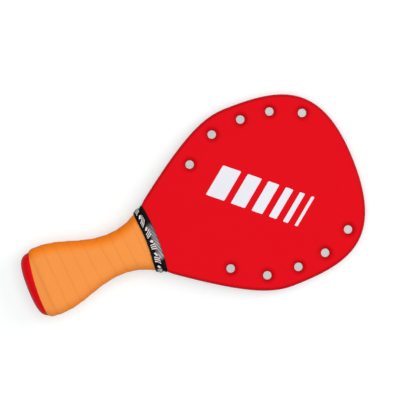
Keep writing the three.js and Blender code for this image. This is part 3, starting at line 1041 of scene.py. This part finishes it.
def wound_ribbon_tree():
    """A ribbon of rounded section, wound along a mapped sheet so that each turn laps the last."""
    kinds = {
        "Guide": "Object",
        "Finish": "Material",
        **dict.fromkeys(winding, "Float"),
        **dict.fromkeys(winding_counts, "Int"),
    }
    tree, given = geometry_tree("wound ribbon", kinds)
    calc = partial(maths, tree)
    guide = new_node(tree, "GeometryNodeObjectInfo", {"Object": given["Guide"]}).outputs["Geometry"]
    guide_map, out_field = [
        put(tree, "GeometryNodeInputNamedAttribute", {"Name": name}, data_type="FLOAT_VECTOR")
        for name in ("UVMap", "out")
    ]
    place_field = put(tree, "GeometryNodeInputPosition")

    def on_guide(value, round_share, x):
        """A value of the guide at a share round it and a place along it."""
        length = calc("SUBTRACT", given["Guide End"], given["Guide Start"])
        along = calc("DIVIDE", calc("SUBTRACT", x, given["Guide Start"]), length)
        spot = put(tree, "ShaderNodeCombineXYZ", {"X": round_share, "Y": along})
        wanted = {"Mesh": guide, "Value": value, "UV Map": guide_map, "Sample UV": spot}
        return put(tree, "GeometryNodeSampleUVSurface", wanted, data_type="FLOAT_VECTOR")

    per_ring = calc("MULTIPLY_ADD", given["Columns"], 2, 1)
    grid, ring, column = grid_mesh(tree, given["Rings"], per_ring)
    fold = calc("DIVIDE", column, given["Columns"])
    side = calc("SIGN", calc("SUBTRACT", 1, fold))
    step = calc("SUBTRACT", 1, calc("ABSOLUTE", calc("SUBTRACT", fold, 1)))
    across = calc("MULTIPLY_ADD", calc("COSINE", calc("MULTIPLY", step, math.pi)), -0.5, 0.5)
    turns = calc("DIVIDE", ring, given["Rings A Turn"])
    round_share = calc("FRACT", calc("ADD", turns, given["Start Share"]))

    start_y = split(tree, on_guide(place_field, round_share, given["Start"]))["Y"]
    bow = calc("POWER", calc("SUBTRACT", start_y, given["Bow Middle"]), 2)
    first_edge = calc("MULTIPLY_ADD", bow, given["Bow"], given["Start"])
    first_head_edge = calc("ADD", given["Start"], given["Tail"])
    head_edge = calc("MULTIPLY_ADD", given["Pitch"], turns, first_head_edge)
    low_side = calc("MAXIMUM", first_edge, calc("SUBTRACT", head_edge, given["Width"]))
    width = calc("SUBTRACT", calc("MINIMUM", given["End"], head_edge), low_side)
    x = calc("MULTIPLY_ADD", width, across, low_side)

    from_side = calc("MULTIPLY", width, calc("MINIMUM", across, calc("SUBTRACT", 1, across)))
    inward = calc("SUBTRACT", 1, calc("MINIMUM", calc("DIVIDE", from_side, given["Taper"]), 1))
    swell = calc("SUBTRACT", 1, calc("MULTIPLY", inward, inward))
    outer = calc("MULTIPLY_ADD", side, 0.5, 0.5)
    lift = calc("MULTIPLY", calc("MULTIPLY", swell, outer), given["Thickness"])

    climbs = given["Face Climb"], given["Side Climb"]
    beside_middle = calc("ABSOLUTE", start_y)
    climb_run = ramp(tree, beside_middle, given["Side From"], given["Side Full"], *climbs)
    heights = given["Lay Gap"], given["Over Cushion"]
    base = ramp(tree, x, first_edge, calc("ADD", first_edge, climb_run), *heights)
    lapped = ramp(tree, turns, given["Flat Turn"], 1.0)
    climb = calc("DIVIDE", calc("ADD", given["Thickness"], given["Lay Gap"]), given["Pitch"])
    before_head_edge = calc("SUBTRACT", head_edge, x)
    lap = calc("MULTIPLY", calc("MULTIPLY", climb, lapped), before_head_edge)

    away = calc("DIVIDE", calc("SUBTRACT", x, given["Slack At"]), given["Slack Spread"])
    fading = calc("EXPONENT", calc("MULTIPLY", calc("MULTIPLY", away, away), -1))
    x_laid = calc("MULTIPLY_ADD", fading, given["Slack Reach"], x)
    laid = on_guide(place_field, round_share, x_laid)
    out = on_guide(out_field, round_share, x_laid)

    stretched = {0: laid, 1: ripple_stretch}
    drawn = put(tree, "ShaderNodeVectorMath", stretched, operation="MULTIPLY")
    spots = {"Vector": drawn, "W": given["Seed"], "Scale": 1.0, "Detail": 2.0}
    ripple = put(tree, "ShaderNodeTexNoise", spots, noise_dimensions="4D")
    wave = calc("MULTIPLY", calc("SUBTRACT", ripple, 0.5), given["Ripple"])
    offset = calc("ADD", calc("ADD", calc("ADD", base, lap), lift), wave)
    lifted = put(tree, "ShaderNodeVectorMath", {0: out, "Scale": offset}, operation="SCALE")
    place = put(tree, "ShaderNodeVectorMath", {0: laid, 1: lifted}, operation="ADD")
    moved = {"Geometry": grid, "Position": place}
    ribbon = put(tree, "GeometryNodeSetPosition", moved)

    widest_y = split(tree, on_guide(place_field, given["Side Share"], x_laid))["Y"]
    overlap = calc("SUBTRACT", given["Width"], given["Pitch"])
    kept_values = {
        "own_side": calc("SUBTRACT", x, calc("SUBTRACT", head_edge, given["Width"])),
        "next_side": calc("SUBTRACT", overlap, before_head_edge),
        "margin": calc("SUBTRACT", widest_y, calc("ABSOLUTE", split(tree, laid)["Y"])),
    }
    for name, value in kept_values.items():
        stored = {"Geometry": ribbon, "Name": name, "Value": value}
        ribbon = put(tree, "GeometryNodeStoreNamedAttribute", stored)
    close_tree(tree, ribbon, given["Finish"])
    return tree


def grip_material():
    """Tacky ribbon: paler on the flats by a painted sheen, deeper towards the sides by painted shade,
    darker in the laps by painted shade.
    """
    plain = {"Specular IOR Level": 0.15}
    made, tree, shader, place = new_material("orange_grip_ribbon", plain)
    height, tone = grained(tree, place, grain_scale=1500, cloud_scale=45, tone_change=0.05)
    margin = kept(tree, "margin")
    # Painted shade: the orange deepens towards the sides of the handle, over a wider band on the +Y
    # side.
    upper = ramp(tree, split(tree, place)["Y"], -middle_blend, middle_blend)
    wide_side_shade = ramp(tree, margin, side_shade_full, side_shade_reach, low=1.0, high=0.0)
    narrow_side_shade = ramp(tree, margin, 0.0, side_shade_reach / 2, low=0.5, high=0.0)
    drawn = put(tree, "ShaderNodeMix", {0: upper, 2: narrow_side_shade, 3: wide_side_shade})
    colour = mixed(tree, drawn, grip_flat_painted_sheen, grip_side_painted_shade)
    # Painted shade in the laps, in patches.
    into_next = maths(tree, "ABSOLUTE", kept(tree, "next_side"))
    rolled = ramp(tree, kept(tree, "own_side"), 0.0, lap_shade_reach, low=rolled_lap_shade, high=0.0)
    tucked = ramp(tree, into_next, 0.0, lap_shade_reach, low=tucked_lap_shade, high=0.0)
    patchy = noise_texture(tree, place, scale=90, detail=2)
    lap_shade_patches = ramp(tree, patchy, lap_shade_from, lap_shade_full, low=least_lap_shade)
    painted_lap_shade = maths(tree, "MULTIPLY", maths(tree, "ADD", rolled, tucked), lap_shade_patches)
    colour = toned(tree, mixed(tree, painted_lap_shade, colour, grip_lap_shade_colour), tone)
    rough = maths(tree, "MULTIPLY_ADD", patchy, grip_patch_dulling, grip_roughness)
    dress(tree, shader, colour, height, grip_pore_depth, rough)
    return made


def grip_ribbon():
    guide = handle_guide()
    finish = grip_material()
    values = {"Guide": guide, "Finish": finish, **winding, **winding_counts}
    mesh = mesh_from_tree(wound_ribbon_tree(), [(0, 0, 0)], values)
    bpy.data.objects.remove(guide)
    shape = bmesh.new()
    shape.from_mesh(mesh)
    bmesh.ops.remove_doubles(shape, verts=shape.verts, dist=weld)
    open_edges = [edge for edge in shape.edges if edge.is_boundary]
    bmesh.ops.holes_fill(shape, edges=open_edges, sides=0)
    return add_piece("grip_ribbon", shape, finish)


grip = grip_ribbon()
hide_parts("overgrip")
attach(grip, "root")


# Throat band
# A band of stretchy black vinyl tape, 13.5 mm wide, holds the end of the grip. It is pulled over
# the edge of the grip and down the throat onto the blade, where it shrinks into small slanting
# wrinkles. White marks are printed along it.

band_black = linear(9, 9, 10)
# A pale grey for a painted sheen on the stretched tape.
painted_band_sheen = linear(196, 198, 200)
band_marks = linear(238, 238, 236)
band_grain_depth = 0.03 * mm
band_roughness = 0.22
band_grain_dulling = 0.14
band_front_start = butt + 146.1 * mm
band_front_end = butt + 159.6 * mm
band_width = band_front_end - band_front_start
band_butt_bow = 2.5 * mm
band_head_bow = 4.8 * mm
band_thickness = 0.6 * mm
band_sink = 0.28 * mm
band_shoulder = butt + 148.1 * mm
band_foot = butt + 157.4 * mm
band_rows = 44
wrinkle_reach = 0.4 * mm
wrinkle_spacing = 2.7 * mm
wrinkle_lean = 0.35
wrinkle_drift = 0.7
wrinkle_drift_scale = 60
wrinkle_patch_scale = 90
wrinkle_patch_place = Vector((7, 3, 1))
wrinkle_patch_middle = 0.65
wrinkle_patch_change = 0.7
# How far the tape is stretched sets the wrinkles' height and the painted sheen, which is brighter
# towards -Y.
stretch_half_width = 23.5 * mm
stretch_middle = -3.5 * mm
stretch_steepness = 4
stretch_most = 0.84
stretch_fall = 0.34
stretch_start = 0.4
stretch_start_run = 0.28
stretch_end = 1.03
stretch_end_run = 0.14
# Shares of painted highlight on the wrinkles' ridges and of painted sheen on the stretched tape.
painted_ridge_highlight = 0.9
painted_stretch_sheen = 0.25
band_flat_steps = 84
mark_repeat = 15 * mm
mark_line_share = 0.42
mark_height = 5.6 * mm
mark_lean = 0.35
mark_bar_half_width = 0.6 * mm
mark_bar_shares = (0.46, 0.62, 0.78)
mark_diamond_share = 0.2
mark_diamond_reach = 2.1 * mm
wear_from = 0.3
wear_full = 0.42
worn_cover = 0.35


def band_material(length):
    """Black vinyl with fine creases and a printed row of marks, a painted sheen and painted highlights
    on the creases.
    """
    plain = {"Specular IOR Level": 0.035}
    made, tree, shader, place = new_material("black_vinyl_band", plain)
    calc = partial(maths, tree)
    at = split(tree, put(tree, "ShaderNodeUVMap", uv_map="UVMap"))
    repeat = length / round(length / mark_repeat)
    line = calc("SUBTRACT", at["Y"], band_width * mark_line_share)
    rise = calc("ABSOLUTE", line)
    along = calc("MODULO", at["X"], repeat)
    leaning = calc("MULTIPLY_ADD", line, mark_lean, along)
    cover = 0.0
    for share in mark_bar_shares:
        off = calc("ABSOLUTE", calc("SUBTRACT", leaning, repeat * share))
        cover = calc("ADD", cover, calc("LESS_THAN", off, mark_bar_half_width))
    cover = calc("MULTIPLY", cover, calc("LESS_THAN", rise, mark_height / 2))
    off = calc("ABSOLUTE", calc("SUBTRACT", along, repeat * mark_diamond_share))
    diamond = calc("LESS_THAN", calc("ADD", off, rise), mark_diamond_reach)
    cover = calc("MINIMUM", calc("ADD", cover, diamond), 1)
    worn = noise_texture(tree, place, scale=700, detail=2)
    left = ramp(tree, worn, wear_from, wear_full, low=worn_cover, kind="LINEAR")
    cover = calc("MULTIPLY", cover, left)
    height, tone = grained(tree, place, grain_scale=1100, cloud_scale=120, tone_change=0.3)
    # Painted sheen where the tape is stretched, and painted highlights on the wrinkles' ridges.
    sheen_paint = calc("MULTIPLY", kept(tree, "drawn"), painted_stretch_sheen)
    highlight_paint = calc("MULTIPLY_ADD", kept(tree, "raised"), painted_ridge_highlight, sheen_paint)
    colour = mixed(tree, cover, mixed(tree, highlight_paint, band_black, painted_band_sheen), band_marks)
    rough = calc("MULTIPLY_ADD", height, band_grain_dulling, band_roughness)
    dress(tree, shader, toned(tree, colour, tone), height, band_grain_depth, rough)
    return made


def throat_band():
    over_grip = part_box("finishing_band")[1].z - handle_half - band_thickness - band_sink
    stations = section_stations(band_flat_steps)

    def band_point(across, station, lift):
        side = handle_point(0, station, shoulder.y, handle_half, handle_edge_radius)
        bow = (side.y / shoulder.y) ** 2
        start = band_front_start - band_butt_bow * bow
        end = band_front_end - band_head_bow * bow
        x = start + (end - start) * across
        down = eased((x - band_shoulder) / (band_foot - band_head_bow * bow - band_shoulder))
        sunk = eased((x - band_shoulder) / (band_foot - band_shoulder))
        offset = over_grip + (wrap_clearance - over_grip) * down + lift
        half = handle_half + (blade_half - handle_half) * sunk + offset
        radius = handle_edge_radius + (head_edge_radius - handle_edge_radius) * sunk + offset
        return handle_point(x, station, half_width_at(x) + offset, half, radius)

    def stretch(across, station):
        """How far the tape is drawn at a point, which sets the wrinkles and the painted sheen: it is
        most in the middle of the ramp.
        """
        place = band_point(across, station, 0)
        beside = place.y - stretch_middle
        middle = eased(stretch_steepness * (1 - abs(beside) / stretch_half_width))
        reach = stretch_most - stretch_fall * beside / stretch_half_width
        start = eased((across - stretch_start) / stretch_start_run)
        return reach * middle * start * eased((stretch_end - across) / stretch_end_run)

    def wrinkle(across, station):
        """The height of the slanting wrinkles at a point."""
        place = band_point(across, station, 0)
        drift = noise.noise(place * wrinkle_drift_scale) * wrinkle_drift
        slanted = place.x + place.y * wrinkle_lean
        ridge = math.sin(math.tau * (slanted / wrinkle_spacing + drift))
        patches = noise.noise(place * wrinkle_patch_scale + wrinkle_patch_place)
        patch = wrinkle_patch_middle + wrinkle_patch_change * patches
        return wrinkle_reach * stretch(across, station) * patch * (0.5 + 0.5 * ridge)

    def band_ring(across, side):
        """The section at a share of the width: outside with its wrinkles, or inside."""
        edge = min(across, 1 - across) * band_width
        inward = 1 - min(edge / (band_thickness / 2), 1)
        lift = band_thickness * (0.5 + 0.5 * side * math.sqrt(max(0, 1 - inward * inward)))
        if side < 0:
            return [band_point(across, station, lift) for station in stations]
        return [band_point(across, station, lift + wrinkle(across, station)) for station in stations]

    rows = [*range(band_rows + 1), *range(band_rows - 1, 0, -1)]
    acrosses = [0.5 - 0.5 * math.cos(math.pi * row / band_rows) for row in rows]
    rings = [
        band_ring(across, 1 if count <= band_rows else -1)
        for count, across in enumerate(acrosses)
    ]
    middle = [band_point(mark_line_share, station, band_thickness) for station in stations]
    lengths = lengths_along([*middle, middle[0]])
    shape = bmesh.new()
    uv = shape.loops.layers.uv.new("UVMap")
    drawn = shape.verts.layers.float.new("drawn")
    raised = shape.verts.layers.float.new("raised")
    corners = [[shape.verts.new(point) for point in ring] for ring in rings]
    for across, ring in zip(acrosses, corners):
        for station, corner in zip(stations, ring):
            # Each point keeps its share of painted sheen and its wrinkle height for the painted
            # highlights.
            corner[drawn] = stretch(across, station)
            corner[raised] = wrinkle(across, station) / wrinkle_reach
    for row, after in loop_pairs(rings):
        near, far = corners[row], corners[after]
        for i, j in loop_pairs(stations):
            face = shape.faces.new((near[i], near[j], far[j], far[i]))
            spots = ((i, row), (i + 1, row), (i + 1, after), (i, after))
            for loop, (column, ring) in zip(face.loops, spots):
                loop[uv].uv = (lengths[column], acrosses[ring] * band_width)
    return add_piece("throat_band", shape, band_material(lengths[-1]))


band = throat_band()
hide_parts("finishing_band")
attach(band, "root")


# Floor, light and camera
# The racket lies on a white studio floor, resting on the band at its throat and on the tip of its
# head, so the floor is tilted against it. The light is soft, with the key beyond the head's tip.
# From below the camera sees through the floor.

white = (1, 1, 1, 1)
floor_side = 24.0
shadow_tone = (0.41, 0.45, 0.44, 1.0)
lit_tone = (0.65, 0.64, 0.65, 1.0)
pale_from = 0.45
pale_beyond = 1.3
floor_bounce = (0.6, 0.6, 0.6, 1.0)
world_light = 0.38
overhead_light = 0.615
overhead_elevation = math.radians(90)
key_light = 0.15
key_elevation = math.radians(36)
view_width = 467.8 * mm
view_turn = math.radians(-21.55)
view_middle = Vector((23.54 * mm, 14.44 * mm, 0))
lens_length = 300
sensor_width = 36
camera_reach = 100
up_of_view = Vector((-math.sin(view_turn), math.cos(view_turn), 0))


def seen_rays(tree):
    """1 for the rays that show a surface plainly, to the camera or in a reflection."""
    light_path = new_node(tree, "ShaderNodeLightPath").outputs
    seen = maths(tree, "ADD", light_path["Is Camera Ray"], light_path["Is Glossy Ray"])
    return maths(tree, "MINIMUM", maths(tree, "ADD", seen, light_path["Is Transmission Ray"]), 1)


def floor_material():
    """White paper that keeps the racket's shadow, and bounces light as pale paper does."""
    made = bpy.data.materials.new("studio_floor")
    made.use_nodes = True
    tree = made.node_tree
    tree.nodes.clear()
    place = new_node(tree, "ShaderNodeTexCoord").outputs["Object"]
    away = new_node(tree, "ShaderNodeVectorMath", {0: place}, operation="LENGTH").outputs["Value"]
    tone = mixed(tree, ramp(tree, away, pale_from, pale_beyond), shadow_tone, white)
    own = put(tree, "ShaderNodeEmission", {"Color": tone, "Strength": 1.0})
    lit = put(tree, "ShaderNodeBsdfDiffuse", {"Color": lit_tone})
    shown = put(tree, "ShaderNodeAddShader", {0: own, 1: lit})
    bounce = put(tree, "ShaderNodeBsdfDiffuse", {"Color": floor_bounce})
    mix = put(tree, "ShaderNodeMixShader", {0: seen_rays(tree), 1: bounce, 2: shown})
    below = new_node(tree, "ShaderNodeNewGeometry").outputs["Backfacing"]
    clear = put(tree, "ShaderNodeBsdfTransparent")
    mix = put(tree, "ShaderNodeMixShader", {0: below, 1: mix, 2: clear})
    new_node(tree, "ShaderNodeOutputMaterial", {"Surface": mix})
    return made


def studio_floor():
    rest_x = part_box("overgrip")[1].x
    slope = (-blade_half - cad_low.z) / (tip - head_edge_radius - rest_x)
    half = floor_side / 2
    corners = ((-half, -half), (half, -half), (half, half), (-half, half))
    points = [(x, y, cad_low.z + (x - rest_x) * slope) for x, y in corners]
    floor = mesh_object("studio_floor", points, [(0, 1, 2, 3)])
    floor.data.materials.append(floor_material())
    return floor


def add_softbox(name, direction, elevation, distance, size, share):
    """A square lamp that gives a level surface a share of its full light."""
    lamp = bpy.data.lights.new(name, "AREA")
    lamp.shape = "SQUARE"
    lamp.size = size
    lamp.energy = share * math.pi**2 * distance**2 / math.sin(elevation)
    softbox = new_object(name, lamp)
    level = direction.normalized() * math.cos(elevation)
    softbox.location = (level + Vector((0, 0, math.sin(elevation)))) * distance
    softbox.rotation_euler = softbox.location.to_track_quat("Z", "Y").to_euler()


def studio_world():
    world = bpy.data.worlds.new("studio")
    bpy.context.scene.world = world
    world.use_nodes = True
    tree = world.node_tree
    tree.nodes.clear()
    strength = maths(tree, "MULTIPLY_ADD", seen_rays(tree), 1 - world_light, world_light)
    sky = put(tree, "ShaderNodeBackground", {"Color": white, "Strength": strength})
    new_node(tree, "ShaderNodeOutputWorld", {"Surface": sky})


def photo_camera():
    lens = bpy.data.cameras.new("photo_camera")
    lens.lens = lens_length
    lens.sensor_width = sensor_width
    lens.clip_end = camera_reach
    camera = new_object("photo_camera", lens)
    distance = view_width * lens_length / sensor_width
    camera.location = view_middle + Vector((0, 0, blade_half + distance))
    camera.rotation_euler = (0, 0, view_turn)
    bpy.context.scene.camera = camera


studio_floor()
studio_world()
add_softbox("overhead", up_of_view, overhead_elevation, distance=2.2, size=2.2, share=overhead_light)
add_softbox("key", Vector((1, 0, 0)), key_elevation, distance=3.2, size=1.6, share=key_light)
photo_camera()
bpy.context.scene.view_settings.view_transform = "Standard"
